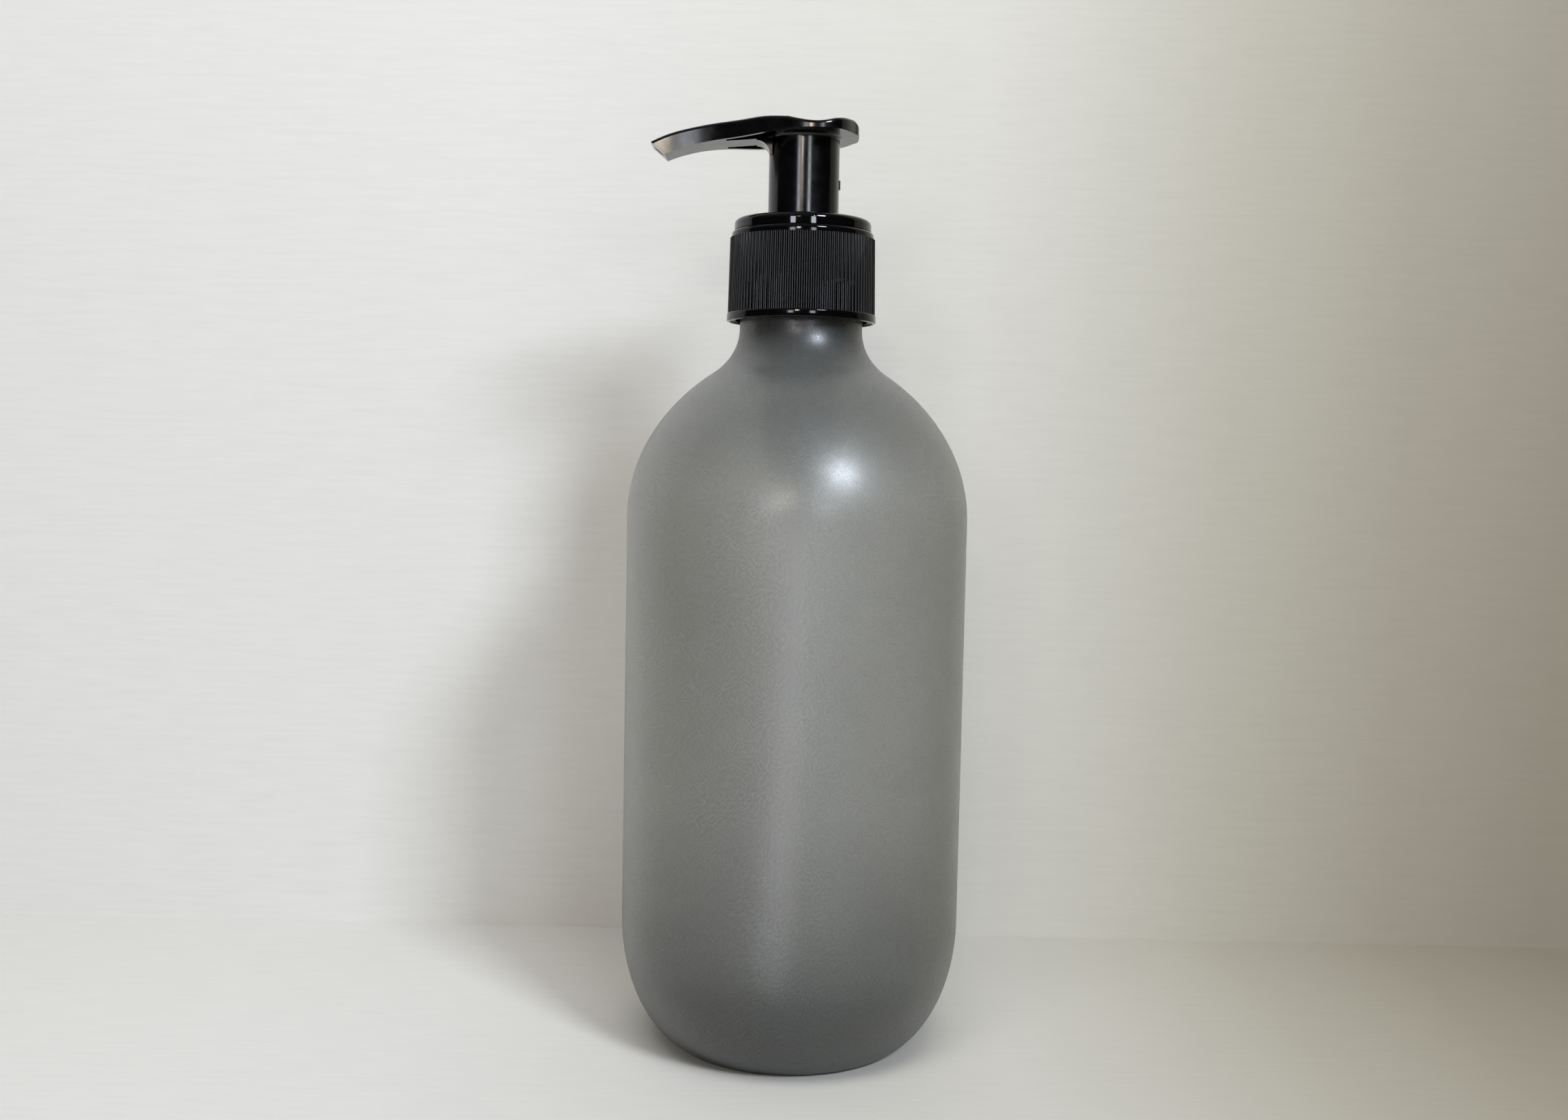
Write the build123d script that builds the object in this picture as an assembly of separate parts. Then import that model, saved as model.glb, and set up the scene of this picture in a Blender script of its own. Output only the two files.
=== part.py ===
from build123d import *
import os
from math import acos, atan2, cos, degrees, pi, radians, sin, sqrt, tan

# Pump bottle for massage oil. Millimetres, +Z up. The origin is the centre of
# the foot on the bottle's axis, and the nozzle points to -X.

# ---------------------------------------------------------------- bottle
body_r = 36.5              # outside radius of the straight body
wall = 1.0                 # blown wall of body, shoulder and foot
foot_inset = 11.8          # standing ring's outer edge, inside the body's radius
foot_ring_w = 3.7          # width of the standing ring
foot_edge_r = 0.25         # rounding of the standing ring's outer edge
push_up = 3.6              # how far the bottom is pushed up inside the ring
push_up_crown = 0.72       # height of the push-up halfway out, as a share of its middle
heel_radial = 17.1         # heel ellipse, semi-axis along the radius
heel_rise = 28.3           # heel ellipse, semi-axis along the height
shoulder_radial = 46.7     # shoulder ellipse, semi-axis along the radius
shoulder_ratio = 0.84      # shoulder ellipse, height over radius
neck_blend_r = 14.4        # hollow blend from shoulder to neck, along the radius
neck_drop = 1.5            # blend's upper end below the closure's rim
neck_plain_h = 2.6         # plain neck between the blend and the thread's root
neck_step = 0.45           # plain neck's radius over the thread's root
neck_wall = 1.85           # thread's root to the bore
finish_height = 17.9       # from the closure's rim to the top of the housing's flange
thread_root_r = 12.65
thread_depth = 1.1
thread_pitch = 4.23        # six threads to the inch
thread_turns = 1.5
thread_crest_w = 1.0       # width of the flat on a thread's crest
thread_flank = 30.0        # flank angle, degrees from the radius
thread_start_drop = 9.0    # from the neck's top down to the thread's lower end

# ---------------------------------------------------------------- closure
skirt_z = 155.3            # rim of the ribbed skirt
closure_wall = 1.0         # wall behind the floor between the ribs
rim_step = 0.85            # plain band at the rim, over the floor between the ribs
rim_h = 1.75
rim_edge_r = 0.3
rib_count = 100
rib_low_step = 0.65        # rib crests at the bottom, over the floor between the ribs
rib_high_step = 0.35       # rib crests at the top, after draft
rib_h = 15.9
rib_round = 0.62           # radius of a rib's crest, as a share of half the pitch
band_step = 0.05           # plain band above the ribs, over the floor between the ribs
band_edge_r = 0.85
closure_top_t = 1.2        # top plate of the closure
thread_gap = 0.35          # radial gap between the two threads' crests and roots
tooth_count = 60           # short ratchet teeth inside the rim
tooth_w = 0.45
tooth_inset = 0.25         # teeth's lower ends above the rim
tooth_recess = 1.0         # depth of the recess that holds the teeth
tooth_wall = 0.65          # thickness of the rim outside the teeth

# ---------------------------------------------------------------- lock collar
collar_inset = 0.55        # collar's edge inside the closure's plain band
collar_h = 2.4
collar_edge_r = 1.1
collar_wall = 1.2          # walls round the collar's hollow underside
well_wall = 0.7            # wall round the bore that takes the actuator's skirt
well_floor_t = 1.2
well_end_gap = 1.4         # skirt's end to the collar's floor at full stroke
collar_relief_t = 1.1      # plate left over the collar's hollow underside

# ---------------------------------------------------------------- pump body
gasket_t = 1.0
gasket_edge = 0.2          # gasket's edge inside the flange's
flange_t = 1.2
flange_edge = 0.25         # how far the flange overhangs the neck's top
barrel_gap = 0.97          # barrel in the neck's bore
barrel_wall = 1.0
barrel_slope = 0.5         # fall of the step from barrel to chamber, over its width
chamber_r = 6.6
chamber_wall = 1.0
spigot_end_gap = 2.25      # spigot to the spring's boss at full stroke
vent_r = 0.5
vent_drop = 1.6            # vent below the ledge
spring_boss_h = 1.4
spring_boss_wall = 0.5
pocket_r = 2.6             # cavity round the ball
pocket_depth = 4.2
throat_r = 1.4
throat_h = 1.0
socket_depth = 8.6
socket_wall = 1.0
tail_wall = 1.0            # wall round the ball's pocket
nub_r = 1.9                # the cage nubs reach in to here
nub_h = 0.8
nub_drop = 0.2             # nubs' tops below the spring's seat
nub_w = 1.0
nub_count = 3
ball_r = 2.2
ball_seat_gap = 0.03

# ---------------------------------------------------------------- dip tube
tube_r = 3.1
tube_bore_r = 2.3
tube_cut = 45.0            # slanted cut of the lower end, degrees
tube_straight = 9.8        # straight run below the housing's tail
tube_lean = [-1.5, -4.1]   # x at the middle bend and at the end
tube_mid_share = 0.52      # middle bend's height between the end and the first bend
tube_end_gap = 4.0         # end of the tube above the push-up
tube_bends = [390.0, 760.0]   # radii of the two bends

# ---------------------------------------------------------------- plunger
stroke = 13.0
stem_r = 4.0
stem_bore_r = 2.0
stem_top_gap = 1.4         # stem's top to the roof of the actuator's skirt
stem_neck_r = 3.0          # narrow lower part on which the piston floats
stop_step = 1.0            # flange that stops the plunger under the collar's floor, over the stem
stop_t = 1.45
piston_len = 5.5
piston_lip_inset = 0.3     # lips' ends inside the piston's ends
piston_lip_h = 1.0         # lips' rubbing bands reach this far from the ends
piston_lip_run = 0.6       # slope from the rubbing band to the waist
piston_travel = 1.2        # lost motion that opens the ports
piston_sleeve_r = 4.0
piston_lip_t = 0.6
piston_waist = 0.25        # how much the piston's middle is relieved
piston_web_t = 1.0
seat_r = 4.4
seat_t = 1.2
shank_len = 4.0
spigot_r = 2.2
spigot_len = 3.0
spigot_lead = (0.4, 0.6)   # lead-in at the spigot's foot, along the radius and the height
port_r = 0.45
port_count = 4
port_lift = 0.15           # ports' lower edges above the disc
flute_r = 0.8
wire_r = 0.45
spring_mean_r = 3.7
spring_turns = 6.0

# ---------------------------------------------------------------- actuator
skirt_wall = 1.0
skirt_hidden = 3.4         # length of the skirt inside the collar when up
press_gap = 0.3            # spout's blend above the collar at full stroke
socket_t = 1.22            # wall of the socket that takes the stem
socket_len = 10.5          # socket below the skirt's roof
roof_drop = 2.0            # roof of the skirt's hollow below the plate's underside
pad_half_w = 12.4          # widest half-width of the finger pad
tail_x = 11.5
crease_x = -3.2            # where the arm meets the pad
crease_half_w = 11.3
crease_h = 2.42            # top of the crease above the plate's underside
dip_h = 1.47               # lowest point of the finger dish
dip_place = 0.28           # its place, as a share of the tail
pad_plan = [(0.14, 1.0), (0.64, 0.86)]   # pad's edge, as shares of the tail and half-width
tail_plan = (0.93, 0.4)                  # turn into the tail, as shares of the same
tip_half_w = 4.2
tip_top_x = -32.5
tip_top_drop = 2.0         # below the plate's underside
tip_low_x = -29.4
tip_low_drop = 4.6
arm_top_line = [(-29.0, -0.42), (-24.0, 0.95), (-18.0, 1.93), (-12.0, 2.42)]   # (x, above the plate)
arm_low_line = [(-9.0, -0.8), (-14.0, -1.3), (-22.0, -2.3)]
arm_plan = [(-9.5, 9.2), (-14.0, 7.0), (-18.0, 5.6), (-25.0, 4.45)]           # (x, half-width)
plate_edge_r = 0.7         # rounding of the head's upper edges
tail_round = 1.95
tail_edge_h = 1.0          # upright part of the tail's end
spout_half_w = 3.5         # raised spout under the arm
spout_drop = 1.2           # spout's underside below the plate at the skirt
spout_root = 0.2           # how far the spout's blend reaches into the skirt
pocket_rim = 1.15          # rim left round the pockets beside the spout
pocket_ceiling = 0.85      # pockets' ceiling above the plate's underside
pocket_far_x = -16.5
pocket_near_x = -6.0
root_blend_r = 2.9         # blend from the spout to the skirt
plate_blend_r = 0.8        # blend from the pad's underside to the skirt
duct_r = 1.15
duct_drop = 0.75           # duct's start below the plate's underside
duct_mid = (-15.5, 0.4)    # duct's middle: x, and height above the plate's underside
lug_w = 1.4
lug_z = 7.6                # lug's middle above the collar's top when up
lug_h = 1.9

# ---------------------------------------------------------------- fits
seal_gap = 0.05            # face of the closure to flange and collar, gasket to neck
turn_gap = 0.35            # closure's opening round the collar's well
skirt_gap = 0.6            # actuator's skirt in the collar's well
lug_gap = 0.35             # lock lug in the collar's well
snap_gap = 0.03            # collar's well in the housing's barrel, tube in its socket
stem_gap = 0.08            # stem in the collar's floor and in the actuator's socket
piston_gap = 0.05          # piston in the chamber and on the stem
shank_gap = 0.03           # seat's shank in the stem's bore
sink = 0.3                 # how far a rib, thread or boss runs into what it stands on
cut_reach = 10.0           # how far the head's cutting shapes run past its underside

# ---------------------------------------------------------------- derived radii
bore_r = thread_root_r - neck_wall
neck_r = thread_root_r + neck_step
thread_crest_r = thread_root_r + thread_depth
closure_in_r = thread_crest_r + thread_gap
nut_crest_r = thread_root_r + thread_gap
rib_base_r = closure_in_r + closure_wall
rim_r = rib_base_r + rim_step
rib_low_r = rib_base_r + rib_low_step
rib_high_r = rib_base_r + rib_high_step
band_r = rib_base_r + band_step
collar_r = band_r - collar_inset
barrel_r = bore_r - barrel_gap
barrel_in_r = barrel_r - barrel_wall
well_out_r = barrel_in_r - snap_gap
well_r = well_out_r - well_wall
opening_r = well_out_r + turn_gap
flange_r = thread_root_r + flange_edge
chamber_out_r = chamber_r + chamber_wall
tube_socket_r = tube_r + snap_gap
tail_r = tube_socket_r + socket_wall
stop_r = stem_r + stop_step
skirt_r = well_r - skirt_gap
lug_r = well_r - lug_gap
socket_r = stem_r + stem_gap + socket_t
foot_r = body_r - foot_inset
foot_inner_r = foot_r - foot_ring_w

# ---------------------------------------------------------------- derived levels
neck_top_z = skirt_z + finish_height - gasket_t - flange_t - seal_gap
shoulder_across = neck_r + neck_blend_r - body_r + shoulder_radial
shoulder_rise = shoulder_ratio * sqrt((shoulder_radial + neck_blend_r) ** 2 - shoulder_across ** 2)
body_top_z = skirt_z - neck_drop - shoulder_rise
flange_z = neck_top_z + seal_gap + gasket_t
flange_top_z = flange_z + flange_t
closure_in_z = flange_top_z + seal_gap
closure_top_z = closure_in_z + closure_top_t
collar_z = closure_top_z + seal_gap
collar_top_z = collar_z + collar_h
skirt_end_z = collar_top_z - skirt_hidden
ledge_z = skirt_end_z - stroke - well_end_gap - well_floor_t
floor_top_z = ledge_z + well_floor_t
stop_top_z = ledge_z - seal_gap
stop_low_z = stop_top_z - stop_t
piston_top_z = stop_low_z - piston_travel - seal_gap
piston_z = piston_top_z - piston_len
disc_z = piston_z - seat_t
spigot_z = disc_z - spigot_len
seat_z = spigot_z - stroke - spigot_end_gap - spring_boss_h
pocket_low_z = seat_z - pocket_depth
throat_z = pocket_low_z - (pocket_r - throat_r)
tube_top_z = throat_z - throat_h
tail_z = tube_top_z - socket_depth
plate_z = collar_top_z + stroke + press_gap + root_blend_r + spout_drop
roof_z = plate_z - roof_drop
stem_top_z = roof_z - stem_top_gap


def face_inside(*pieces):
    """Face in the XY plane inside a closed run of curves."""
    return make_face([edge for piece in pieces for edge in piece.edges()])


def outline(points):
    """Face in the XZ plane inside a closed run of (x, z) corners."""
    return Plane.XZ * face_inside(Polyline(*points, close=True))


def turned(points):
    """Body turned about the Z axis from its (radius, z) corners."""
    return revolve(outline(points), Axis.Z)


def ring(outer, inner, low, high):
    """Plain ring between two radii and two heights."""
    return turned([(inner, low), (outer, low), (outer, high), (inner, high)])


def rod(radius, low, high):
    """Plain round bar on the Z axis."""
    return Pos(0, 0, low) * Cylinder(radius, high - low, align=(Align.CENTER, Align.CENTER, Align.MIN))


def block(x0, x1, y0, y1, z0, z1):
    """Box between two opposite corners."""
    return Pos((x0 + x1) / 2, (y0 + y1) / 2, (z0 + z1) / 2) * Box(x1 - x0, y1 - y0, z1 - z0)


def oval_arc(centre_r, centre_z, a, b, start, end):
    """Elliptic edge in the drawing plane from parameter angle start to end, in degrees."""
    points = []
    for step in range(5):
        angle = radians(start + (end - start) * step / 4)
        points.append((centre_r + a * cos(angle), centre_z + b * sin(angle)))
    first = radians(start)
    last = radians(end)
    turn = 1 if end > start else -1
    tangents = [(-turn * a * sin(first), turn * b * cos(first)), (-turn * a * sin(last), turn * b * cos(last))]
    return Spline(*points, tangents=tangents)


def bottle_line(inset, top_r):
    """Edges from the foot to the neck's top, moved inwards by the wall."""
    radius = body_r - inset
    a = heel_radial - inset
    b = heel_rise - inset
    heel_r = radius - a
    foot = foot_r - inset * 0.5
    foot_angle = acos((foot - heel_r) / a)
    heel_z = heel_rise * sin(acos((heel_radial - foot_inset) / heel_radial)) + foot_edge_r
    foot_z = heel_z - b * sin(foot_angle)
    shoulder_a = shoulder_radial - inset
    shoulder_b = shoulder_radial * shoulder_ratio - inset
    ratio = shoulder_b / shoulder_a
    shoulder_r = radius - shoulder_a
    blend_r = neck_blend_r + neck_r - top_r
    across = top_r + blend_r - shoulder_r
    rise = sqrt((shoulder_a + blend_r) ** 2 - across ** 2)
    meet = degrees(atan2(rise, across))
    blend_z = body_top_z + ratio * rise
    edges = [
        oval_arc(heel_r, heel_z, a, b, -degrees(foot_angle), 0),
        Line((radius, heel_z), (radius, body_top_z)),
        oval_arc(shoulder_r, body_top_z, shoulder_a, shoulder_b, 0, meet),
        oval_arc(top_r + blend_r, blend_z, blend_r, ratio * blend_r, meet + 180, 180),
    ]
    return edges, (foot, foot_z), (top_r, blend_z)


def helix_thread(root, crest, start_z):
    """One trapezoid thread on a right-hand helix, from its root to its crest radius."""
    depth = abs(crest - root)
    side = 1 if crest > root else -1
    half_crest = thread_crest_w / 2
    half_root = half_crest + (depth + sink) * tan(radians(thread_flank))
    path = Helix(pitch=thread_pitch, height=thread_turns * thread_pitch, radius=root, center=(0, 0, start_z))
    back = root - side * sink
    section = outline([(back, start_z - half_root), (crest, start_z - half_crest),
                       (crest, start_z + half_crest), (back, start_z + half_root)])
    return sweep(section, path=path, is_frenet=True)


def make_bottle():
    """Blown bottle with its push-up bottom, plain neck and outside thread."""
    outer, foot, blend = bottle_line(0, neck_r)
    inner, inner_foot, inner_blend = bottle_line(wall, bore_r)
    step_z = blend[1] + neck_plain_h
    crown = push_up * push_up_crown
    skin = [
        ThreePointArc((0, push_up), (foot_inner_r / 2, crown), (foot_inner_r, 0)),
        Line((foot_inner_r, 0), (foot_r - foot_edge_r, 0)),
        RadiusArc((foot_r - foot_edge_r, 0), foot, -foot_edge_r),
        *outer,
        Polyline(blend, (neck_r, step_z), (thread_root_r, step_z + neck_r - thread_root_r),
                 (thread_root_r, neck_top_z), (bore_r, neck_top_z), inner_blend),
        *inner,
        ThreePointArc((0, push_up + wall), (foot_inner_r / 2, crown + wall), inner_foot),
        Line((0, push_up + wall), (0, push_up)),
    ]
    shell = revolve(Plane.XZ * face_inside(*skin), Axis.Z)
    start = neck_top_z - thread_start_drop
    return shell + helix_thread(thread_root_r, thread_crest_r, start)


def make_closure():
    """Ribbed screw closure: rim band, ribs, plain band, inside thread and rim teeth."""
    ribs_z = skirt_z + rim_h
    band_z = ribs_z + rib_h
    blank = turned([(opening_r, skirt_z), (rim_r, skirt_z), (rim_r, ribs_z), (rib_base_r, ribs_z),
                    (rib_base_r, band_z), (band_r, band_z), (band_r, closure_top_z), (opening_r, closure_top_z)])
    sharp = [edge for edge in blank.edges().filter_by(GeomType.CIRCLE)
             if abs(edge.center().Z - closure_top_z) < 0.01 and abs(edge.radius - band_r) < 0.01]
    blank = fillet(sharp, band_edge_r)
    rim = [edge for edge in blank.edges().filter_by(GeomType.CIRCLE) if abs(edge.radius - rim_r) < 0.01]
    blank = fillet(rim, rim_edge_r)
    crest_r = pi * rib_low_r / rib_count * rib_round
    bump = Pos(rib_low_r - crest_r, 0) * Circle(crest_r)
    web_in = rib_base_r - sink
    web_out = rib_low_r - crest_r
    web = Pos((web_in + web_out) / 2, 0) * Rectangle(web_out - web_in, 2 * crest_r)
    rib = extrude(Pos(0, 0, ribs_z - sink) * (bump + web), rib_h + sink)
    cone = turned([(closure_in_r, ribs_z - sink), (rib_low_r, ribs_z - sink), (rib_high_r, band_z),
                   (closure_in_r, band_z)])
    rib = rib & cone
    ribs = [Rot(0, 0, 360 * index / rib_count) * rib for index in range(rib_count)]
    body = blank + ribs
    body -= rod(closure_in_r, skirt_z - 1, closure_in_z)
    tooth_out_r = rim_r - tooth_wall
    body -= ring(tooth_out_r, closure_in_r - sink, skirt_z - 1, skirt_z + tooth_recess)
    tooth = block(closure_in_r, tooth_out_r + sink, -tooth_w / 2, tooth_w / 2,
                  skirt_z + tooth_inset, skirt_z + tooth_recess + sink)
    teeth = [Rot(0, 0, 360 * index / tooth_count) * tooth for index in range(tooth_count)]
    body += teeth
    start = neck_top_z - thread_start_drop - thread_pitch / 2
    return body + helix_thread(closure_in_r, nut_crest_r, start)


def make_lock_collar():
    """Collar that snaps into the housing, traps the closure and guides the plunger."""
    body = turned([(well_r, collar_top_z), (well_r, floor_top_z), (stem_r + stem_gap, floor_top_z),
                   (stem_r + stem_gap, ledge_z), (well_out_r, ledge_z), (well_out_r, collar_z),
                   (collar_r, collar_z), (collar_r, collar_top_z)])
    edge = [item for item in body.edges().filter_by(GeomType.CIRCLE)
            if abs(item.radius - collar_r) < 0.01 and abs(item.center().Z - collar_top_z) < 0.01]
    body = fillet(edge, collar_edge_r)
    relief_top_z = collar_top_z - collar_relief_t
    relief = ring(collar_r - collar_wall, well_out_r + collar_wall, collar_z - 1, relief_top_z)
    return body - relief


def make_gasket():
    """Flat seal between the neck's top and the housing's flange."""
    return ring(flange_r - gasket_edge, barrel_r + snap_gap, neck_top_z + seal_gap, flange_z)


def make_housing():
    """Pump body: flange, wide barrel, pumping chamber, ball pocket and tube socket."""
    boss_r = pocket_r + spring_boss_wall
    body = turned([
        (barrel_in_r, flange_top_z), (barrel_in_r, ledge_z), (chamber_r, ledge_z), (chamber_r, seat_z),
        (boss_r, seat_z), (boss_r, seat_z + spring_boss_h), (pocket_r, seat_z + spring_boss_h),
        (pocket_r, pocket_low_z), (throat_r, throat_z), (throat_r, tube_top_z),
        (tube_socket_r, tube_top_z), (tube_socket_r, tail_z), (tail_r, tail_z),
        (tail_r, pocket_low_z), (chamber_out_r, seat_z - tail_wall), (chamber_out_r, ledge_z - barrel_wall),
        (barrel_r, ledge_z - barrel_wall + (barrel_r - chamber_out_r) * barrel_slope), (barrel_r, flange_z),
        (flange_r, flange_z), (flange_r, flange_top_z)])
    nub_z = seat_z - nub_h - nub_drop
    nub = block(nub_r, pocket_r + sink, -nub_w / 2, nub_w / 2, nub_z, nub_z + nub_h)
    for index in range(nub_count):
        body += Rot(0, 0, 360 * index / nub_count) * nub
    vent = Pos(chamber_r, 0, ledge_z - vent_drop) * Rot(0, 90, 0) * Cylinder(vent_r, 4 * chamber_wall)
    return body - Rot(0, 0, 90) * vent


def make_inlet_ball():
    """Ball that closes the inlet, resting just clear of its 45 degree seat."""
    rest = throat_z + ball_r * sqrt(2) - throat_r + ball_seat_gap
    return Pos(0, 0, rest) * Sphere(ball_r)


def make_dip_tube():
    """Tube from the housing's socket to the bottom, leaning with a slight bow."""
    mid_x, end_x = tube_lean
    first_z = tail_z - tube_straight
    end_z = push_up + wall + tube_end_gap
    mid_z = end_z + (first_z - end_z) * tube_mid_share
    path = FilletPolyline((0, 0, tube_top_z), (0, 0, first_z), (mid_x, 0, mid_z), (end_x, 0, end_z),
                          radius=tube_bends)
    print("dip tube bend radii", tube_bends, "length", round(path.length, 1))
    start = Plane(origin=(0, 0, tube_top_z), z_dir=(0, 0, -1))
    solid = sweep(start * Circle(tube_r), path=path)
    hole = sweep(start * Circle(tube_bore_r), path=path)
    reach = 6 * tube_r
    knife = Pos(end_x, 0, end_z) * Rot(0, tube_cut, 0) * Pos(0, 0, -reach / 2) * Box(2 * reach, reach, reach)
    return solid - hole - knife


def make_stem():
    """Hollow stem with its stop flange, narrow piston seat and side ports."""
    body = turned([
        (stem_bore_r, stem_top_z), (stem_bore_r, piston_z), (stem_neck_r, piston_z),
        (stem_neck_r, stop_low_z), (stop_r, stop_low_z), (stop_r, stop_top_z),
        (stem_r, stop_top_z), (stem_r, stem_top_z)])
    port = Pos(0, 0, piston_z + port_r + port_lift) * Rot(0, 90, 0) * Cylinder(port_r, 3 * stem_neck_r)
    for index in range(port_count // 2):
        body -= Rot(0, 0, 180 * index / (port_count // 2)) * port
    return body


def make_piston():
    """Double-lipped piston that floats on the stem and opens its ports."""
    outer = chamber_r - piston_gap
    inner = stem_neck_r + piston_gap
    lip_in = outer - piston_lip_t
    throat = lip_in - piston_lip_inset
    waist = outer - piston_waist
    web_z = (piston_z + piston_top_z) / 2
    half_web = piston_web_t / 2
    half_lip = piston_len / 2 - piston_lip_inset
    half_band = piston_len / 2 - piston_lip_h
    half_waist = half_band - piston_lip_run
    half_sleeve = piston_len / 2
    corners = [(inner, half_sleeve), (piston_sleeve_r, half_sleeve), (piston_sleeve_r, half_web),
               (throat, half_web), (lip_in, half_lip), (outer, half_lip), (outer, half_band), (waist, half_waist)]
    upper = [(radius, web_z + height) for radius, height in corners]
    lower = [(radius, web_z - height) for radius, height in reversed(corners)]
    return turned(upper + lower)


def make_piston_seat():
    """Plug in the stem's foot: disc that closes the ports, fluted shank, spring spigot."""
    shank_r = stem_bore_r - shank_gap
    lead_r, lead_h = spigot_lead
    body = turned([
        (0, spigot_z), (spigot_r - lead_r, spigot_z), (spigot_r, spigot_z + lead_h), (spigot_r, disc_z),
        (seat_r, disc_z), (seat_r, piston_z), (shank_r, piston_z), (shank_r, piston_z + shank_len),
        (0, piston_z + shank_len)])
    flute = Pos(shank_r, 0, 0) * rod(flute_r, piston_z, piston_z + shank_len + 1)
    for index in range(port_count):
        body -= Rot(0, 0, 360 * index / port_count) * flute
    return body


def make_spring():
    """Return spring from the housing's seat to the underside of the seat's disc."""
    low = seat_z + wire_r
    height = disc_z - wire_r - low
    path = Helix(pitch=height / spring_turns, height=height, radius=spring_mean_r, center=(0, 0, low))
    section = Plane(origin=(spring_mean_r, 0, low), z_dir=(0, 1, 0)) * Circle(wire_r)
    return sweep(section, path=path, is_frenet=True)


def head_plan(inset=0.0):
    """Outline of the head from above: finger pad, crease and tapering arm."""
    end_x = tip_top_x - 2
    crease = (crease_x, crease_half_w - inset)
    sides = [(tail_x * along, pad_half_w * across - inset) for along, across in pad_plan]
    turn = (tail_x * tail_plan[0] - inset, pad_half_w * tail_plan[1])
    pad = [crease, *sides, turn, (tail_x - inset, 0)]
    arm = [crease, *[(x, half_w - inset) for x, half_w in arm_plan], (end_x, tip_half_w - inset)]
    near_pad = Spline(*pad, tangents=[(1, 0.42), (0, -1)])
    near_arm = Spline(*arm, tangents=[(-1, -0.36), (-1, 0)])
    end = Line((end_x, tip_half_w - inset), (end_x, inset - tip_half_w))
    return face_inside(near_pad, near_arm, near_pad.mirror(Plane.XZ), near_arm.mirror(Plane.XZ), end)


def head_side():
    """Side view of the head: oblique tip, crowned arm, dished pad and rounded tail."""
    tip_top = (tip_top_x, plate_z - tip_top_drop)
    tip_low = (tip_low_x, plate_z - tip_low_drop)
    crease = (crease_x, plate_z + crease_h)
    dip = (tail_x * dip_place, plate_z + dip_h)
    crest = (tail_x - tail_round * 0.8, plate_z + tail_edge_h + tail_round)
    top_run = [(x, plate_z + height) for x, height in arm_top_line]
    low_run = [(x, plate_z + height) for x, height in arm_low_line]
    arm_top = Spline(tip_top, *top_run, crease, tangents=[(1, 0.5), (1, -0.1)])
    pad_top = Spline(crease, dip, crest, tangents=[(1, -0.3), (1, 0.1)])
    tail = RadiusArc(crest, (tail_x, plate_z + tail_edge_h), tail_round * 1.1)
    arm_low = Spline((crease_x, plate_z), *low_run, tip_low, tangents=[(-1, -0.06), (-1, -0.45)])
    under = Polyline((tail_x, plate_z + tail_edge_h), (tail_x, plate_z), (crease_x, plate_z))
    return Plane.XZ * face_inside(Line(tip_low, tip_top), arm_top, pad_top, tail, under, arm_low)


def head_blank():
    """The head's solid form: side view cut to the plan, with its upper edges rounded."""
    half = pad_half_w + 1
    side = extrude(Pos(0, half, 0) * head_side(), 2 * half)
    plan = extrude(Pos(0, 0, plate_z - cut_reach) * head_plan(), 2 * cut_reach)
    blank = side & plan
    upper = [edge for edge in blank.edges()
             if edge.geom_type != GeomType.LINE and (edge @ 0.5).Z > plate_z + tail_edge_h]
    return fillet(upper, plate_edge_r)


def head_pockets():
    """The two hollows under the arm, either side of the spout."""
    ceiling = plate_z + pocket_ceiling
    plan = extrude(Pos(0, 0, plate_z - cut_reach) * head_plan(pocket_rim), cut_reach + pocket_ceiling)
    window = block(pocket_far_x, pocket_near_x, -pad_half_w, pad_half_w, plate_z - cut_reach, ceiling)
    spout = block(pocket_far_x - 1, 0, -spout_half_w, spout_half_w, plate_z - cut_reach, ceiling + 1)
    return (plan & window) - spout - rod(skirt_r + plate_blend_r + sink, plate_z - cut_reach, ceiling + 1)


def head_skirt():
    """Skirt under the head, with its roof and the blend to the pad's underside."""
    flare = skirt_r + plate_blend_r
    inner = skirt_r - skirt_wall
    blend_low = (skirt_r, plate_z - plate_blend_r)
    joined_z = plate_z + sink
    return revolve(Plane.XZ * face_inside(
        Polyline((0, joined_z), (0, roof_z), (inner, roof_z), (inner, skirt_end_z),
                 (skirt_r, skirt_end_z), blend_low),
        RadiusArc(blend_low, (flare, plate_z), plate_blend_r),
        Polyline((flare, plate_z), (flare, joined_z), (0, joined_z))), Axis.Z)


def spout_root_blend():
    """Hollow blend that carries the spout's underside down into the skirt."""
    foot_x = spout_root - skirt_r
    spout_z = plate_z - spout_drop
    root = (foot_x - root_blend_r, spout_z)
    foot = (foot_x, spout_z - root_blend_r)
    back_x = foot_x + skirt_wall / 2
    gusset = Plane.XZ * face_inside(
        RadiusArc(root, foot, root_blend_r),
        Polyline(foot, (back_x, foot[1]), (back_x, plate_z), (root[0], plate_z), root))
    return extrude(Pos(0, spout_half_w, 0) * gusset, 2 * spout_half_w)


def head_duct():
    """Passage from the stem's socket along the arm and out of the tip."""
    start_z = plate_z - duct_drop
    mid_x, mid_rise = duct_mid
    tip = ((tip_top_x + tip_low_x) / 2, 0, plate_z - (tip_top_drop + tip_low_drop) / 2)
    line = ThreePointArc((0, 0, start_z), (mid_x, 0, plate_z + mid_rise), tip)
    bore = sweep(Plane(origin=line @ 0, z_dir=line % 0) * Circle(duct_r), path=line)
    outlet = Plane(origin=line @ 1, z_dir=line % 1) * Cylinder(duct_r, cut_reach / 2)
    return [bore, outlet, rod(stem_bore_r, roof_z - 1, start_z + duct_r / 2)]


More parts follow.
